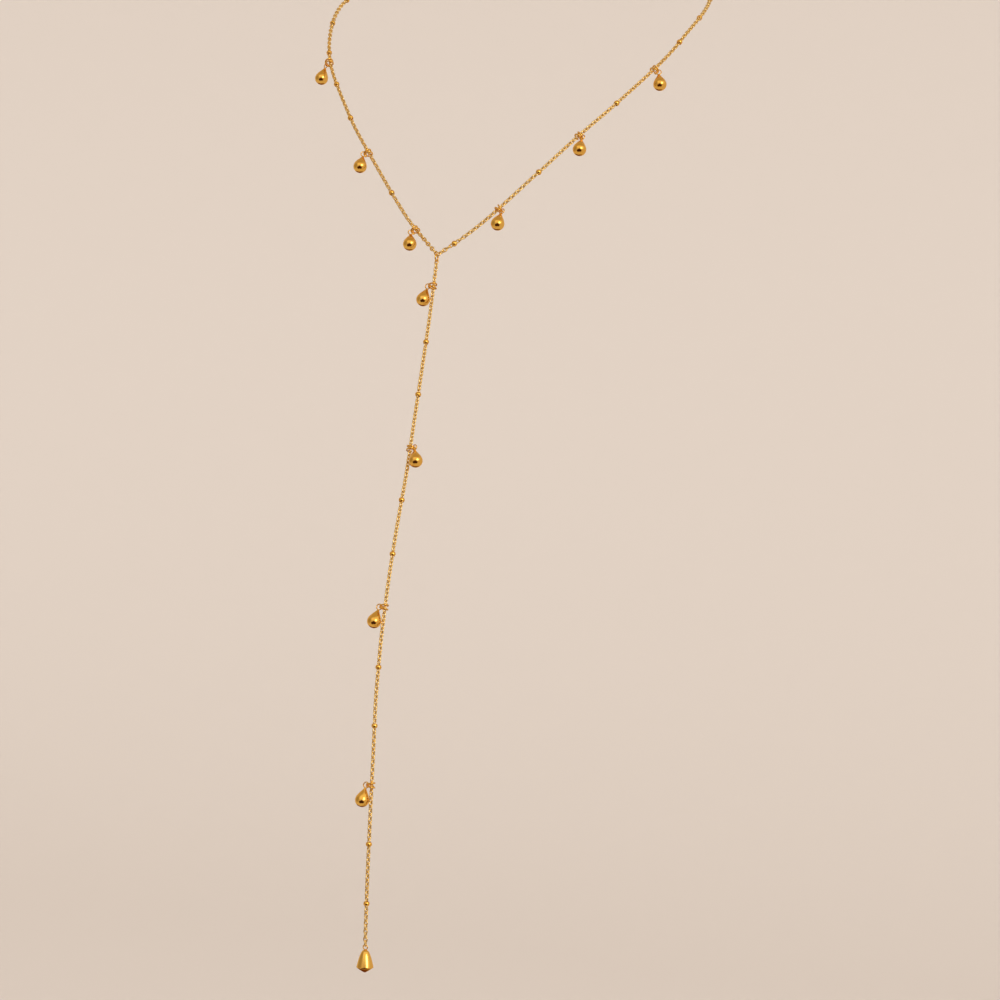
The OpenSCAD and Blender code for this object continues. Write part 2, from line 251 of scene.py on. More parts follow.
cam_right, cam_up, cam_forward = camera_axes(CAMERA_AZIMUTH, CAMERA_ELEVATION)
camera_data = bpy.data.cameras.new("camera")
camera_data.sensor_fit = "HORIZONTAL"
camera_data.sensor_width = SENSOR
camera_data.lens = SENSOR * LENS_SHARE
camera_data.clip_start = 0.01
camera = bpy.data.objects.new("camera", camera_data)
bpy.context.scene.collection.objects.link(camera)
place = (JUNCTION + cam_right * CAMERA_OFFSET[0] + cam_up * CAMERA_OFFSET[1]
         - cam_forward * CAMERA_OFFSET[2])
turn = Matrix((cam_right, cam_up, -cam_forward)).transposed().to_4x4()
camera.matrix_world = Matrix.Translation(place) @ turn
bpy.context.scene.camera = camera
print("camera at", [round(v, 3) for v in place], "lens", round(camera_data.lens, 1))

# %% [markdown]
# ## Polished gold
# All of the necklace is polished yellow gold plate. What makes it read as gold is what it
# mirrors, so the material is a metal with a low roughness. Real plate is never an even
# mirror: tumbling leaves fine pits and hair lines, handling leaves slightly duller patches,
# and the colour shifts a little between yellow and rose. Three small noise textures do that,
# all on Object coordinates, so that the pattern stays on the piece.


# %% Gold
PATCH_SIZE = 6 * MM
HANDLING_SIZE = 1.2 * MM


def link(tree, a, b):
    """A link from the output a to the input b."""
    tree.links.new(a, b)


def gold(name, colour, rosier, roughness, grain, bump=0.02):
    """A polished gold. grain is the size of its finest marks, in metres."""
    material = bpy.data.materials.new(name)
    material.use_nodes = True
    tree = material.node_tree
    nodes = tree.nodes
    shader = nodes["Principled BSDF"]
    shader.inputs["Metallic"].default_value = 1.0
    where = nodes.new("ShaderNodeTexCoord")

    def noise(scale, detail, label):
        node = nodes.new("ShaderNodeTexNoise")
        node.label = label
        node.inputs["Scale"].default_value = scale
        node.inputs["Detail"].default_value = detail
        link(tree, where.outputs["Object"], node.inputs["Vector"])
        return node.outputs["Fac"]

    def spread(value, low, high, label):
        node = nodes.new("ShaderNodeMapRange")
        node.label = label
        node.inputs["From Min"].default_value = 0.3
        node.inputs["From Max"].default_value = 0.7
        node.inputs["To Min"].default_value = low
        node.inputs["To Max"].default_value = high
        link(tree, value, node.inputs["Value"])
        return node.outputs["Result"]

    patches = noise(1 / PATCH_SIZE, 3, "patches of tone")
    handling = noise(1 / HANDLING_SIZE, 4, "handling")
    pits = noise(1 / grain, 2, "tumbling marks")

    tone = nodes.new("ShaderNodeMix")
    tone.data_type = "RGBA"
    tone.inputs["A"].default_value = (*colour, 1)
    tone.inputs["B"].default_value = (*rosier, 1)
    link(tree, spread(patches, 0.0, 1.0, "yellow to rose"), tone.inputs["Factor"])
    link(tree, tone.outputs["Result"], shader.inputs["Base Color"])
    link(tree, spread(handling, roughness * 0.75, roughness * 1.35, "roughness"),
         shader.inputs["Roughness"])
    relief = nodes.new("ShaderNodeBump")
    relief.inputs["Strength"].default_value = bump
    relief.inputs["Distance"].default_value = grain * 0.2
    link(tree, pits, relief.inputs["Height"])
    link(tree, relief.outputs["Normal"], shader.inputs["Normal"])
    return material


YELLOW = (0.92, 0.57, 0.14)
ROSIER = (0.90, 0.50, 0.10)
drop_gold = gold("polished gold of the drops", YELLOW, ROSIER, 0.09, 0.12 * MM)
bead_gold = gold("polished gold of the beads", YELLOW, ROSIER, 0.08, 0.10 * MM)
WIRE_YELLOW = (0.93, 0.69, 0.32)
WIRE_ROSIER = (0.91, 0.64, 0.26)
chain_gold = gold("drawn gold wire of the links", WIRE_YELLOW, WIRE_ROSIER, 0.24, 0.06 * MM, 0.03)
ring_gold = gold("drawn gold wire of the rings", YELLOW, ROSIER, 0.10, 0.08 * MM, 0.03)
clasp_gold = gold("turned gold of the clasp", YELLOW, ROSIER, 0.15, 0.10 * MM, 0.04)
print("finishes:", [m.name for m in bpy.data.materials])

# %% [markdown]
# ## Geometry Nodes: a small kit
# A node tree is a recipe that Blender cooks into a mesh. The helpers below start a tree with
# named inputs, add a node with its values, set an input by the socket's identifier, and turn
# the cooked result into a plain mesh, which is what the finished piece keeps.


# %% Node tree helpers
def new_tree(name, inputs):
    """A geometry tree with the given (name, socket type, default) inputs."""
    tree = bpy.data.node_groups.new(name, "GeometryNodeTree")
    tree.interface.new_socket("Geometry", in_out="INPUT", socket_type="NodeSocketGeometry")
    tree.interface.new_socket("Geometry", in_out="OUTPUT", socket_type="NodeSocketGeometry")
    for label, kind, default in inputs:
        socket = tree.interface.new_socket(label, in_out="INPUT", socket_type=kind)
        if default is not None:
            socket.default_value = default
    return tree, tree.nodes.new("NodeGroupInput"), tree.nodes.new("NodeGroupOutput")


def add(tree, kind, settings=None, **inputs):
    """A node with its settings, and its inputs linked or set by name."""
    node = tree.nodes.new(kind)
    for key, value in (settings or {}).items():
        setattr(node, key, value)
    for key, value in inputs.items():
        socket = node.inputs[key.replace("_", " ")]
        if isinstance(value, bpy.types.NodeSocket):
            tree.links.new(value, socket)
        else:
            socket.default_value = value
    return node


def cook(points, name, tree, values):
    """The points with the tree applied, as a finished object with a plain mesh."""
    modifier = points.modifiers.new(name, "NODES")
    modifier.node_group = tree
    by_name = {item.name: item.identifier for item in tree.interface.items_tree
               if item.item_type == "SOCKET" and item.in_out == "INPUT"}
    for label, value in values.items():
        modifier[by_name[label]] = value
    cooked = points.evaluated_get(bpy.context.evaluated_depsgraph_get())
    mesh = bpy.data.meshes.new_from_object(cooked)
    mesh.name = name
    points.modifiers.remove(modifier)
    bpy.data.objects.remove(points)
    piece = bpy.data.objects.new(name, mesh)
    bpy.context.scene.collection.objects.link(piece)
    return piece


def point_object(name, places, vectors=None, numbers=None, as_line=False):
    """An object of loose points, or of one line, with vectors and numbers stored on them."""
    mesh = bpy.data.meshes.new(name)
    edges = [(i, i + 1) for i in range(len(places) - 1)] if as_line else []
    mesh.from_pydata([tuple(p) for p in places], edges, [])
    for label, values in (vectors or {}).items():
        layer = mesh.attributes.new(label, "FLOAT_VECTOR", "POINT")
        for i, v in enumerate(values):
            layer.data[i].vector = v
    for label, values in (numbers or {}).items():
        layer = mesh.attributes.new(label, "FLOAT", "POINT")
        for i, v in enumerate(values):
            layer.data[i].value = v
    obj = bpy.data.objects.new(name, mesh)
    bpy.context.scene.collection.objects.link(obj)
    return obj


def stored(tree, label, kind="FLOAT_VECTOR"):
    """The value of an attribute that was stored on the points."""
    return add(tree, "GeometryNodeInputNamedAttribute", {"data_type": kind},
               Name=label).outputs["Attribute"]


print("geometry helpers ready")

# %% [markdown]
# ## The cable chain
# A cable chain is one small oval link again and again, each turned a quarter against the
# last, so that it leans 45 degrees to one side and then to the other. That rule is the whole
# tree: measure out the path in link pitches, put an oval of round wire on each point, lay it
# along the path, and turn every other one.

# %% Tree of the cable chain
LINK_LENGTH = 1.84 * MM
LINK_WIDTH = 1.3 * MM
LINK_GAUGE = 0.4 * MM
LINK_PITCH = LINK_LENGTH - 2 * LINK_GAUGE

chain_tree, chain_in, chain_out = new_tree("cable chain along a path", [
    ("Links", "NodeSocketInt", 100),
    ("Link Length", "NodeSocketFloat", LINK_LENGTH),
    ("Link Width", "NodeSocketFloat", LINK_WIDTH),
    ("Wire", "NodeSocketFloat", LINK_GAUGE),
    ("Finish", "NodeSocketMaterial", None),
])


def arithmetic(tree, operation, a, b):
    """The result of one arithmetic node on two values."""
    node = tree.nodes.new("ShaderNodeMath")
    node.operation = operation
    for socket, value in zip(node.inputs, (a, b)):
        if isinstance(value, bpy.types.NodeSocket):
            tree.links.new(value, socket)
        else:
            socket.default_value = value
    return node.outputs["Value"]


path = add(chain_tree, "GeometryNodeMeshToCurve", Mesh=chain_in.outputs["Geometry"])
spaced = add(chain_tree, "GeometryNodeResampleCurve", Curve=path.outputs["Curve"],
             Count=chain_in.outputs["Links"])
wire_r = arithmetic(chain_tree, "MULTIPLY", chain_in.outputs["Wire"], 0.5)
half_length = arithmetic(chain_tree, "SUBTRACT", arithmetic(
    chain_tree, "MULTIPLY", chain_in.outputs["Link Length"], 0.5), wire_r)
half_width = arithmetic(chain_tree, "SUBTRACT", arithmetic(
    chain_tree, "MULTIPLY", chain_in.outputs["Link Width"], 0.5), wire_r)
round_path = add(chain_tree, "GeometryNodeCurvePrimitiveCircle", Resolution=12, Radius=1.0)
oval_size = add(chain_tree, "ShaderNodeCombineXYZ", X=half_length, Y=half_width)
spot = add(chain_tree, "GeometryNodeInputPosition")
oval_spot = add(chain_tree, "ShaderNodeVectorMath", {"operation": "MULTIPLY"})
link(chain_tree, spot.outputs["Position"], oval_spot.inputs[0])
link(chain_tree, oval_size.outputs["Vector"], oval_spot.inputs[1])
oval = add(chain_tree, "GeometryNodeSetPosition", Geometry=round_path.outputs["Curve"],
           Position=oval_spot.outputs["Vector"])
wire_section = add(chain_tree, "GeometryNodeCurvePrimitiveCircle", Resolution=6, Radius=wire_r)
one_link = add(chain_tree, "GeometryNodeCurveToMesh", Curve=oval.outputs["Geometry"],
               Profile_Curve=wire_section.outputs["Curve"])

index = add(chain_tree, "GeometryNodeInputIndex")
odd = arithmetic(chain_tree, "MODULO", index.outputs["Index"], 2.0)
quarter = arithmetic(chain_tree, "MULTIPLY", odd, -math.pi / 2)
roll = arithmetic(chain_tree, "ADD", arithmetic(chain_tree, "ADD", quarter, math.pi / 4),
                  stored(chain_tree, "twist", "FLOAT"))
tangent = add(chain_tree, "GeometryNodeInputTangent")
link_normal = add(chain_tree, "ShaderNodeVectorRotate", {"rotation_type": "AXIS_ANGLE"},
                  Vector=stored(chain_tree, "outward"), Axis=tangent.outputs["Tangent"],
                  Angle=roll)
stand = add(chain_tree, "FunctionNodeAxesToRotation",
            {"primary_axis": "X", "secondary_axis": "Z"},
            Primary_Axis=tangent.outputs["Tangent"], Secondary_Axis=link_normal.outputs["Vector"])
squeeze = add(chain_tree, "ShaderNodeCombineXYZ", X=1.0, Y=stored(chain_tree, "slim", "FLOAT"),
              Z=1.0)
placed = add(chain_tree, "GeometryNodeInstanceOnPoints", Points=spaced.outputs["Curve"],
             Instance=one_link.outputs["Mesh"], Rotation=stand.outputs["Rotation"],
             Scale=squeeze.outputs["Vector"])
real = add(chain_tree, "GeometryNodeRealizeInstances", Geometry=placed.outputs["Instances"])
smooth = add(chain_tree, "GeometryNodeSetShadeSmooth", Geometry=real.outputs["Geometry"])
finished = add(chain_tree, "GeometryNodeSetMaterial", Geometry=smooth.outputs["Geometry"],
               Material=chain_in.outputs["Finish"])
link(chain_tree, finished.outputs["Geometry"], chain_out.inputs["Geometry"])
print("chain tree:", len(chain_tree.nodes), "nodes")

# %% [markdown]
# ## Links of the three chains
# Each chain's path goes through the tree with two numbers and a direction on every point: how
# far a link twists, how wide it is, and which side lies outwards. Near an end the links twist
# a few degrees more each, until the last one stands as the ring or eye that it holds wants it.
# The links inside a bead or a drop's ring are pinched a little narrower, so that they fit.

# %% Links of the three chains
END_CLEAR = 0.3 * MM
END_TURN = 9 * LINK_PITCH
PINCHED = 0.8
PINCH_START, PINCH_END = 0.8 * MM, 1.7 * MM
ROLL_START, ROLL_END = 40 * MM, 80 * MM


def wanted_twist(base, way, wanted):
    """The turn about way that brings base to the line of wanted, at most a quarter."""
    flat = (wanted - wanted.dot(way) * way).normalized()
    turn = math.atan2(way.dot(base.cross(flat)), base.dot(flat))
    return (turn + math.pi / 2) % math.pi - math.pi / 2


def rolled(away, way, roll):
    """An outward direction turned about the chain's own."""
    return Matrix.Rotation(roll, 3, way) @ away


def lie(place, way):
    """The side of the chain that lies outermost: outwards at the nape, and rolled to the
    camera at the front, where the chain was laid straight for the photo."""
    away = outward(place, way)
    front = -cam_forward
    front = (front - front.dot(way) * way).normalized()
    turn = math.atan2(way.dot(away.cross(front)), away.dot(front))
    share = min(max((-place.y - ROLL_START) / (ROLL_END - ROLL_START), 0), 1)
    return rolled(away, way, turn * share)


def finer(points, step=0.5 * MM):
    """The same line with a point at least every step."""
    line = []
    for p, q in zip(points, points[1:]):
        count = math.ceil((q - p).length / step)
        line += [p.lerp(q, k / count) for k in range(count)]
    return line + [points[-1]]


def slimness(strand, points):
    """A link's width at each point as a share: less inside the beads and the drops' rings."""
    held = [FIRST_STATION[strand] + k * PITCH for k in BEAD_STATIONS[strand]]
    held += [FIRST_STATION[strand] + row[0] * PITCH + row[1] * MM for row in SMALL_DROPS[strand]]
    places = [chain_place(strand, s)[0] for s in held]
    near = [min((p - q).length for q in places) for p in points]
    shares = [min(max((d - PINCH_START) / (PINCH_END - PINCH_START), 0), 1) for d in near]
    return [PINCHED + (1 - PINCHED) * share for share in shares]


chains = {}
for strand in ROUTES:
    hook_turn = JUNCTION_HOOKS[strand]
    first_wire = Vector((0, math.cos(hook_turn), -math.sin(hook_turn)))
    last_wire = Vector((1, 0, 0)) if strand == TAIL else Vector((0, 0, 1))
    last_clear = (LINK_LENGTH - LINK_GAUGE) / 2 if strand == TAIL else CLASP_EYE_R + END_CLEAR
    corners = CORNERS[strand]
    start_way = (corners[1] - corners[0]).normalized()
    end_way = (corners[-1] - corners[-2]).normalized()
    path_points = finer(rounded_path(strand, corners[0] + END_CLEAR * start_way,
                                     corners[-1] - last_clear * end_way))
    s = running_length(path_points)
    ways = [(q - p).normalized() for p, q in zip(path_points, path_points[1:])]
    ways = [ways[0]] + [(a + b).normalized() for a, b in zip(ways, ways[1:])] + [ways[-1]]
    away = [lie(p, w) for p, w in zip(path_points, ways)]
    count = math.ceil(s[-1] / LINK_PITCH) + 1
    last_roll = math.pi / 4 * (1 if count % 2 else -1)
    first_twist = wanted_twist(rolled(away[0], ways[0], math.pi / 4), ways[0], first_wire)
    last_twist = wanted_twist(rolled(away[-1], ways[-1], last_roll), ways[-1], last_wire)
    twist = [first_twist * max(0, 1 - d / END_TURN)
             + last_twist * max(0, 1 - (s[-1] - d) / END_TURN) for d in s]
    line = point_object(strand + "_path", path_points, {"outward": away},
                        {"twist": twist, "slim": slimness(strand, path_points)}, as_line=True)
    chains[strand] = cook(line, strand + "_chain_links", chain_tree, {
        "Links": count, "Link Length": LINK_LENGTH, "Link Width": LINK_WIDTH,
        "Wire": LINK_GAUGE, "Finish": chain_gold})
    print(chains[strand].name, count, "links, pitch", round(s[-1] / (count - 1) / MM, 3), "mm,",
          len(chains[strand].data.polygons), "faces")

# %% [markdown]
# ## Beads, rings and drops
# The rest is a few shapes that repeat: one bead, one two-turn ring, one small drop. Each is
# modelled once about its own centre, and a second tree puts a copy on every point, turned to
# the directions that are stored there. A bead is a drilled ball with softened lips, turned on
# a lathe.


# %% Tree of placed copies, and turned shapes
copies_tree, copies_in, copies_out = new_tree("copies on points", [
    ("Shape", "NodeSocketObject", None),
    ("Finish", "NodeSocketMaterial", None),
])
shape_info = add(copies_tree, "GeometryNodeObjectInfo", Object=copies_in.outputs["Shape"])
as_points = add(copies_tree, "GeometryNodeMeshToPoints", Mesh=copies_in.outputs["Geometry"])
turned = add(copies_tree, "FunctionNodeAxesToRotation",
             {"primary_axis": "Z", "secondary_axis": "X"},
             Primary_Axis=stored(copies_tree, "z_way"), Secondary_Axis=stored(copies_tree, "x_way"))
copies = add(copies_tree, "GeometryNodeInstanceOnPoints", Points=as_points.outputs["Points"],
             Instance=shape_info.outputs["Geometry"], Rotation=turned.outputs["Rotation"])
real = add(copies_tree, "GeometryNodeRealizeInstances", Geometry=copies.outputs["Instances"])
smooth = add(copies_tree, "GeometryNodeSetShadeSmooth", Geometry=real.outputs["Geometry"])
finished = add(copies_tree, "GeometryNodeSetMaterial", Geometry=smooth.outputs["Geometry"],
               Material=copies_in.outputs["Finish"])
link(copies_tree, finished.outputs["Geometry"], copies_out.inputs["Geometry"])
print("copies tree:", len(copies_tree.nodes), "nodes")


def turned_shape(profile, sides, closed=False):
    """Points and faces of a profile of (radius, height) turned about Z.
    An open profile starts and ends on the axis, and a closed one is a ring."""
    points, rows = [], []
    for r, z in profile:
        if r < 1e-9:
            rows.append([len(points)] * sides)
            points.append((0, 0, z))
        else:
            rows.append([len(points) + k for k in range(sides)])
            points += [(r * math.cos(2 * math.pi * k / sides),
                        r * math.sin(2 * math.pi * k / sides), z) for k in range(sides)]
    faces = []
    pairs = list(zip(rows, rows[1:])) + ([(rows[-1], rows[0])] if closed else [])
    for a, b in pairs:
        for k in range(sides):
            n = (k + 1) % sides
            corners = [a[k], b[k], b[n], a[n]]
            faces.append([c for i, c in enumerate(corners) if c != corners[i - 1]])
    return points, faces


def wire_ring(radius, wire, around=40, sides=12):
    """A ring of round wire about Z."""
    r = wire / 2
    section = [(radius + r * math.cos(2 * math.pi * k / sides),
                r * math.sin(2 * math.pi * k / sides)) for k in range(sides, 0, -1)]
    return turned_shape(section, around, closed=True)


def joined(*shapes):
    """Several (points, faces) shapes as one."""
    points, faces = [], []
    for more_points, more_faces in shapes:
        base = len(points)
        points += more_points
        faces += [[base + i for i in face] for face in more_faces]
    return points, faces


def moved(shape, change):
    """A shape with every point changed by a matrix."""
    points, faces = shape
    return [tuple(change @ Vector(p)) for p in points], faces


def shape_object(name, shape):
    """A shape as a smooth mesh object."""
    mesh = bpy.data.meshes.new(name)
    mesh.from_pydata([tuple(p) for p in shape[0]], [], shape[1])
    mesh.polygons.foreach_set("use_smooth", [True] * len(mesh.polygons))
    mesh.update()
    obj = bpy.data.objects.new(name, mesh)
    bpy.context.scene.collection.objects.link(obj)
    return obj


def copies_of(shape, name, placements, finish):
    """One piece with a copy of the shape at each placement, a (place, x way, z way)."""
    pattern = shape_object("pattern", shape)
    points = point_object(name + "_points", [p[0] for p in placements],
                          {"x_way": [p[1] for p in placements],
                           "z_way": [p[2] for p in placements]})
    piece = cook(points, name, copies_tree, {"Shape": pattern, "Finish": finish})
    bpy.data.objects.remove(pattern)
    print(name, len(placements), "copies,", len(piece.data.polygons), "faces")
    return piece


# %% Beads
BEAD_D = 1.6 * MM
BORE_D = CHAIN_D + 2 * FIT_GAP


def drilled_ball(d, bore, lip=0.05 * MM, arc_steps=12):
    """The profile of a ball with a straight bore and rounded lips, as a ring."""
    r, hole = d / 2, bore / 2
    lip_angle = math.acos((hole + lip) / r)
    outside = [(r * math.cos(a), r * math.sin(a)) for a in
               (lip_angle * (1 - 2 * k / arc_steps) for k in range(arc_steps + 1))]
    top = outside[0][1]
    inside = [(hole, -top + lip), (hole, top - lip)]
    lower_lip = [(hole + lip * 0.3, -top + lip * 0.25)]
    upper_lip = [(hole + lip * 0.3, top - lip * 0.25)]
    return outside + lower_lip + inside + upper_lip


bead_shape = turned_shape(drilled_ball(BEAD_D, BORE_D), 28, closed=True)
beads = {}
for strand, stations in BEAD_STATIONS.items():
    placements = []
    for k in stations:
        place, way = chain_place(strand, FIRST_STATION[strand] + k * PITCH)
        side = Vector((1, 0, 0)) if strand == TAIL else Vector((0, 0, 1))
        placements.append((place, side.cross(way).normalized(), way))
    beads[strand] = copies_of(bead_shape, strand + "_beads", placements, bead_gold)

# %% [markdown]
# ## Two-turn rings
# A split ring is a coil of two turns pressed flat. Its turns lie side by side, and they cross
# over each other where the ends meet, at the back. The path is a circle whose height steps
# from one turn to the other, and a round wire follows it. The wire's gauge is a little over
# the one that the ring's path is worked out from, and both leave play in the drop's eye.

# %% Sizes of the rings and eyes
RING_WIRE = 0.36 * MM
RING_GAUGE = 0.42 * MM
TURN_GAP = 0.06 * MM
RING_PLAY = 0.2 * MM
RING_SPREAD = 1.2 * MM
RING_START = math.radians(25)
RING_CROSS = math.radians(45)
EYE_WIRE = 0.28 * MM
EYE_GAP = 0.25 * MM
HALF_LOW = (RING_WIRE + TURN_GAP) / 2
HALF_HIGH = RING_SPREAD / 2
HOOK_REACH = CHAIN_D / 2 + EYE_GAP + EYE_WIRE + RING_PLAY + RING_WIRE / 2
RING_R = (HOOK_REACH + CHAIN_D / 2 + FIT_GAP + RING_WIRE / 2) / 2
EYE_ROOM = RING_PLAY + RING_WIRE / 2
EYE_HOLD = RING_WIRE / 2 + 0.08 * MM
EYE_INNER = (0.1 * MM
             + (EYE_ROOM ** 2 + HALF_LOW ** 2 - EYE_HOLD ** 2) / (2 * (EYE_ROOM - EYE_HOLD)))
EYE_R = EYE_INNER + EYE_WIRE / 2
EYE_REACH = CHAIN_D / 2 + EYE_GAP + EYE_WIRE + EYE_INNER
print("radii in mm: ring", round(RING_R / MM, 2), "eye", round(EYE_R / MM, 2))


# %% Two-turn ring
def hold(strand, row):
    """A small drop's hold on the chain: place, ring axis, hook, through and hang directions."""
    station, past, side, roll, swing = row
    place, way = chain_place(strand, FIRST_STATION[strand] + station * PITCH + past * MM)
    out = outward(place, way)
    beside = side * way.cross(out)
    roll, swing = math.radians(roll), math.radians(swing)
    hook = math.cos(roll) * beside + math.sin(roll) * out
    through = math.cos(roll) * out - math.sin(roll) * beside
    slope = (Vector((0, 0, -1)) + out.z * out).normalized()
    down = math.cos(swing) * slope + math.sin(swing) * out.cross(slope)
    hang = (down - 0.5 * down.dot(through) * through).normalized()
    return place, -side * way, hook, through, hang


def two_turn_ring(steps=72, sides=10):
    """A coil of two turns with softened wire ends, its axis along Z."""
    start, sweep = RING_START - math.pi / 2, 4 * math.pi - 2 * RING_START
    wire = RING_GAUGE / 2
    end_turn = 0.5 * wire / RING_R
    softened = [(0.0, 0.55), (0.5 * end_turn, 0.88)]
    stations = [(start + turn, share) for turn, share in softened]
    stations += [(start + end_turn + (sweep - 2 * end_turn) * k / steps, 1.0)
                 for k in range(steps + 1)]
    stations += [(start + sweep - turn, share) for turn, share in softened[::-1]]
    points, faces = [], []
    for a, share in stations:
        side = math.sin(math.pi / 2 * min(max((a - 1.5 * math.pi) / RING_CROSS, -1), 1))
        height = side * (HALF_LOW + (HALF_HIGH - HALF_LOW) * (1 - math.cos(a)) / 2)
        for k in range(sides):
            b = -2 * math.pi * k / sides
            r = RING_R + share * wire * math.cos(b)
            points.append((r * math.cos(a), r * math.sin(a), height + share * wire * math.sin(b)))
    last = len(stations) - 1
    for i in range(last):
        for k in range(sides):
            n = (k + 1) % sides
            faces.append([i * sides + k, (i + 1) * sides + k, (i + 1) * sides + n, i * sides + n])
    faces.append(list(range(sides)))
    faces.append([last * sides + k for k in range(sides - 1, -1, -1)])
    return points, faces


ring_shape = two_turn_ring()
print("ring:", len(ring_shape[1]), "faces")

# %% [markdown]
# ## Small drops
# A drop is a plain cast pear with a round wire eye soldered to its top. Each ring goes round
# the chain and through the eye of its drop. Its row in the table of drops says where it sits,
# to which side it leans and how the drop hangs.

# %% Small drops on their rings
DROP_W, DROP_H = 3.7 * MM, 5 * MM


def pear_profile(w, h, dome, slow, turn, point, tip=0.3 * MM, steps=26):
    """A flank that widens all the way down to the belly, and the base below it. The base is as
    deep as the dome's share of the width. A higher slow keeps the tip slimmer for longer, a
    higher turn makes a softer belly, and a higher point makes a more pointed base."""
    belly, r, edge = h - dome * w, w / 2, 0.07 * MM
    top = [(0, 0), (tip - edge, 0), (tip - 0.3 * edge, -0.3 * edge)]
    flank = [(tip + (r - tip) * (1 - (1 - t ** slow) ** turn), -edge - (belly - edge) * t)
             for t in ((i / steps) ** 1.6 for i in range(steps + 1))]
    base = [(r * math.cos(a) ** point, -belly - (h - belly) * math.sin(a) ** point)
            for a in (math.pi / 2 * i / 18 for i in range(1, 18))]
    return top + flank + base + [(0, -h)]


def pear_drop(profile, eye_r, wire, sides):
    """A pear below its eye, whose centre is the origin and whose hole runs along Y."""
    body = moved(turned_shape(profile, sides), Matrix.Translation((0, 0, -eye_r)))
    eye = moved(wire_ring(eye_r, wire), Matrix.Rotation(math.pi / 2, 4, "X"))
    return joined(body, eye)


small_pear = pear_profile(DROP_W, DROP_H, dome=0.48, slow=1.35, turn=2, point=1)
drop_shape = pear_drop(small_pear, EYE_R, EYE_WIRE, 48)
rings, drops = {}, {}
for strand, rows in SMALL_DROPS.items():
    ring_places, drop_places = [], []
    for row in rows:
        place, axis, hook, through, hang = hold(strand, row)
        ring_places.append((place + (HOOK_REACH - RING_R) * hook, hook, axis))
        drop_places.append((place + EYE_REACH * hook, through.cross(hang).normalized(), -hang))
    rings[strand] = copies_of(ring_shape, strand + "_rings", ring_places, ring_gold)
    drops[strand] = copies_of(drop_shape, strand + "_drops", drop_places, drop_gold)

# %% [markdown]
# ## Junction ring, clasp and end drop
# The junction is a plain soldered ring. The clasp at the nape is a small barrel that closes
# lengthwise, with an eye at each end. The end drop is a larger pear with a longer flank, a
# sharp belly and a blunt cone for its base. It is the one part that swings freely, so it is a
# piece of its own on its own body.


# %% Junction ring, clasp and end drop
def single_piece(name, shape, origin, x_way, z_way, finish):
    """One shape as a piece, turned and moved in its own mesh."""
    turn = Matrix((x_way, z_way.cross(x_way), z_way)).transposed().to_4x4()
    piece = shape_object(name, moved(shape, Matrix.Translation(origin) @ turn))
    piece.data.materials.append(finish)
    print(name, len(piece.data.polygons), "faces")
    return piece


X, Z = Vector((1, 0, 0)), Vector((0, 0, 1))
junction_ring = single_piece("junction_link", wire_ring(JUNCTION_R, JUNCTION_WIRE, 56, 16),
                             JUNCTION, Z, X, ring_gold)

half, barrel_r, chamfer = CLASP_LENGTH / 2, CLASP_D / 2, 0.7 * MM
barrel_half = [(barrel_r, 0.2 * MM), (barrel_r, half - chamfer),
               (barrel_r - 0.04 * MM, half - chamfer + 0.1 * MM),
               (barrel_r - chamfer + 0.1 * MM, half - 0.04 * MM), (barrel_r - chamfer, half)]
seam = [(barrel_r - 0.06 * MM, 0.06 * MM), (barrel_r - 0.06 * MM, -0.06 * MM)]
barrel = ([(0, half)] + barrel_half[::-1] + seam
          + [(r, -z) for r, z in barrel_half] + [(0, -half)])
clasp_parts = [moved(turned_shape(barrel, 48), Matrix.Rotation(math.pi / 2, 4, "Y"))]
for side in (-1, 1):
    clasp_parts.append(moved(wire_ring(CLASP_EYE_R, CLASP_WIRE, 40, 14),
                             Matrix.Translation((side * CLASP_EYE_X, 0, 0))
                             @ Matrix.Rotation(math.pi / 2, 4, "X")))
clasp = single_piece("barrel_clasp", joined(*clasp_parts), Vector((0, 0, 0)), X, Z, clasp_gold)

END_DROP_W, END_DROP_H = 4.4 * MM, 5.9 * MM
END_EYE_WIRE = 0.28 * MM
END_EYE_PLAY = 0.12 * MM
END_EYE_GAP = 0.06 * MM
END_EYE_R = LINK_WIRE / 2 + 2 * FIT_GAP + END_EYE_PLAY + END_EYE_WIRE / 2
END_EYE_DROP = END_EYE_R - END_EYE_WIRE / 2 - LINK_WIRE / 2 - END_EYE_GAP
tail_way = (CORNERS[TAIL][-1] - CORNERS[TAIL][-2]).normalized()
end_hang = Vector((0, tail_way.y, tail_way.z)).normalized()
end_pear = pear_profile(END_DROP_W, END_DROP_H, dome=0.32, slow=0.5, turn=1, point=1.75)
end_drop = single_piece("tail_end_drop", pear_drop(end_pear, END_EYE_R, END_EYE_WIRE, 64),
                        HINGE + END_EYE_DROP * end_hang, X, -end_hang, drop_gold)

# %% [markdown]
# ## What each piece stands for
# Each finished piece rides on an empty for a body of the model, and the model's solids that
# it replaces are hidden.

# %% Bodies and hidden nodes
for strand in ROUTES:
    chain_node = "tail_chain" if strand == TAIL else "neck_chain_" + strand
    for piece, nodes in (
            (chains[strand], [chain_node]),
            (beads[strand], [f"{strand}_bead_{i + 1}" for i in range(len(BEAD_STATIONS[strand]))]),
            (rings[strand], [f"{strand}_ring_{i + 1}" for i in range(len(SMALL_DROPS[strand]))]),
            (drops[strand], [f"{strand}_drop_{i + 1}" for i in range(len(SMALL_DROPS[strand]))])):
        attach(piece, NECKLACE)
        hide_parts(*nodes)
for piece, node, body in ((junction_ring, "junction_ring", NECKLACE), (clasp, "clasp", NECKLACE),
                          (end_drop, "end_drop", END_DROP)):
    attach(piece, body)
    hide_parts(node)

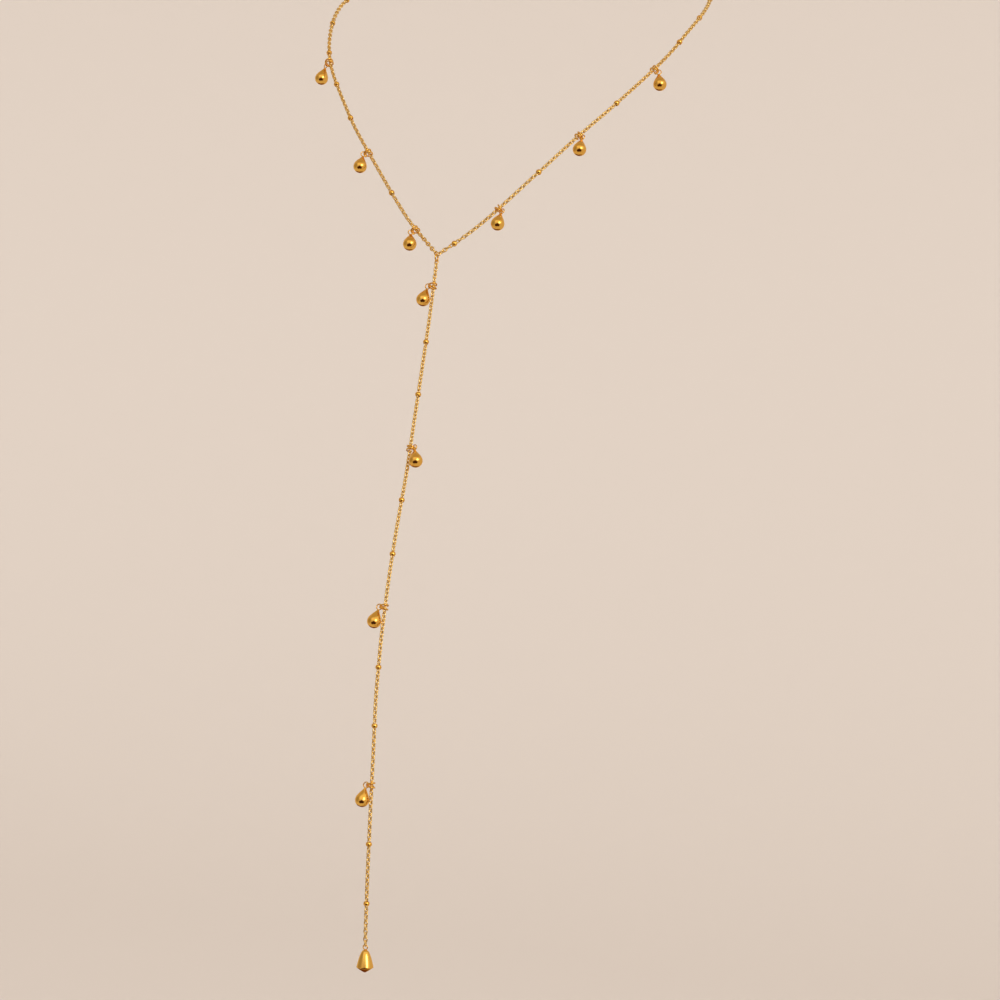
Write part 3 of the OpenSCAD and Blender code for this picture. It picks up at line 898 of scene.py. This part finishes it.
# %% [markdown]
# ## Floor, backdrop and light
# Gold shows nothing but its surroundings, so the light is drawn as surroundings: pale walls,
# a bright soft window high at the front right with dimmer ones beside it, and a dark stretch
# low in front, which puts the deep brown into the lower half of every drop. A brown stretch
# low behind shows in the end drop's base. Each is a soft round area about a direction, painted
# over the ones before. The backdrop is one plain pale sheet that curves from the floor up to
# the wall. It mirrors in nothing, and an even light of its own falls on it.


# %% World light by direction
def direction(right, up, towards):
    """A direction from the object, in the camera's right, up and towards-camera."""
    return (cam_right * right + cam_up * up - cam_forward * towards).normalized()


world = bpy.data.worlds.new("soft studio")
bpy.context.scene.world = world
world.use_nodes = True
sky = world.node_tree
background = sky.nodes["Background"]
ray = sky.nodes.new("ShaderNodeTexCoord")


def area(colour, towards, inner, outer, paint):
    """The surroundings so far with a soft round area painted over them, its half angles in
    degrees. The colour so far is a socket, or the plain colour that all of it starts from."""
    facing = add(sky, "ShaderNodeVectorMath", {"operation": "DOT_PRODUCT"})
    link(sky, ray.outputs["Generated"], facing.inputs[0])
    facing.inputs[1].default_value = towards
    share = add(sky, "ShaderNodeMapRange", {"interpolation_type": "SMOOTHSTEP"},
                Value=facing.outputs["Value"], From_Min=math.cos(math.radians(outer)),
                From_Max=math.cos(math.radians(inner)), To_Min=0.0, To_Max=1.0)
    return add(sky, "ShaderNodeMix", {"data_type": "RGBA"}, Factor=share.outputs["Result"],
               A=colour, B=(*paint, 1)).outputs["Result"]


WALLS = (0.68, 0.56, 0.43)
DARK = (0.05, 0.015, 0.004)
# What it is, its direction, the half angles of its core and its edge, and its colour.
AREAS = [
    ("dim left wall", (-1, 0.2, 0.1), 14, 46, (0.40, 0.32, 0.21)),
    ("ceiling", (0, 1, -0.1), 20, 60, (0.52, 0.40, 0.25)),
    ("brown below and behind", (0.06, -0.82, -0.57), 14, 25, (0.28, 0.15, 0.03)),
    ("deeper brown at its left", (-0.24, -0.66, -0.71), 13, 26, (0.15, 0.04, 0.003)),
    ("soft window", (0.27, 0.55, 0.79), 12, 38, (1.0, 0.88, 0.68)),
    ("soft window at the left", (-0.30, 0.62, 0.72), 12, 30, (1.0, 0.88, 0.66)),
    ("soft window at the right", (0.74, 0.46, 0.49), 12, 32, (1.0, 0.88, 0.64)),
    ("dark in front, right", (0.14, -0.46, 0.88), 14, 30, DARK),
    ("dark in front, left", (-0.42, -0.45, 0.79), 14, 30, DARK),
    ("dark in front, middle", (-0.12, -0.08, 0.99), 6, 18, DARK),
    ("bright window", (0.52, 0.33, 0.79), 8, 18, (5.0, 4.7, 4.2)),
]
painted = (*WALLS, 1)
for label, towards, inner, outer, paint in AREAS:
    painted = area(painted, direction(*towards), inner, outer, paint)

seen = sky.nodes.new("ShaderNodeLightPath")
for ray_kind, instead in (("Is Camera Ray", (0.73, 0.62, 0.55)),
                          ("Is Diffuse Ray", (1.2, 1.15, 1.1))):
    painted = add(sky, "ShaderNodeMix", {"data_type": "RGBA"}, Factor=seen.outputs[ray_kind],
                  A=painted, B=(*instead, 1)).outputs["Result"]
link(sky, painted, background.inputs["Color"])
background.inputs["Strength"].default_value = 1.0
print("areas of the surroundings:", [row[0] for row in AREAS])

# %% Floor and backdrop
sheet_mesh = bpy.data.meshes.new("backdrop")
WIDE, FRONT, DEEP, HIGH, CURVE = 4.0, -3.0, 1.2, 3.0, 0.8
FLOOR_Z = -0.42
rows = [(FRONT, FLOOR_Z), (DEEP - CURVE, FLOOR_Z)]
rows += [(DEEP - CURVE + CURVE * math.sin(a), FLOOR_Z + CURVE * (1 - math.cos(a)))
         for a in (math.pi / 2 * k / 16 for k in range(1, 17))]
rows += [(DEEP, HIGH)]
sheet_points = [(x, y, z) for y, z in rows for x in (-WIDE, WIDE)]
sheet_faces = [(2 * i, 2 * i + 1, 2 * i + 3, 2 * i + 2) for i in range(len(rows) - 1)]
sheet_mesh.from_pydata(sheet_points, [], sheet_faces)
sheet_mesh.polygons.foreach_set("use_smooth", [True] * len(sheet_mesh.polygons))
backdrop = bpy.data.objects.new("backdrop", sheet_mesh)
bpy.context.scene.collection.objects.link(backdrop)
paper = bpy.data.materials.new("pale paper")
paper.use_nodes = True
paper_shader = paper.node_tree.nodes["Principled BSDF"]
paper_shader.inputs["Base Color"].default_value = (0.65, 0.59, 0.55, 1)
paper_shader.inputs["Roughness"].default_value = 0.9
sheet_mesh.materials.append(paper)
backdrop.visible_glossy = False
view = bpy.context.scene.view_settings
view.view_transform = "Standard"
view.look = "None"
view.exposure = 0.0
print("backdrop rows:", len(rows))
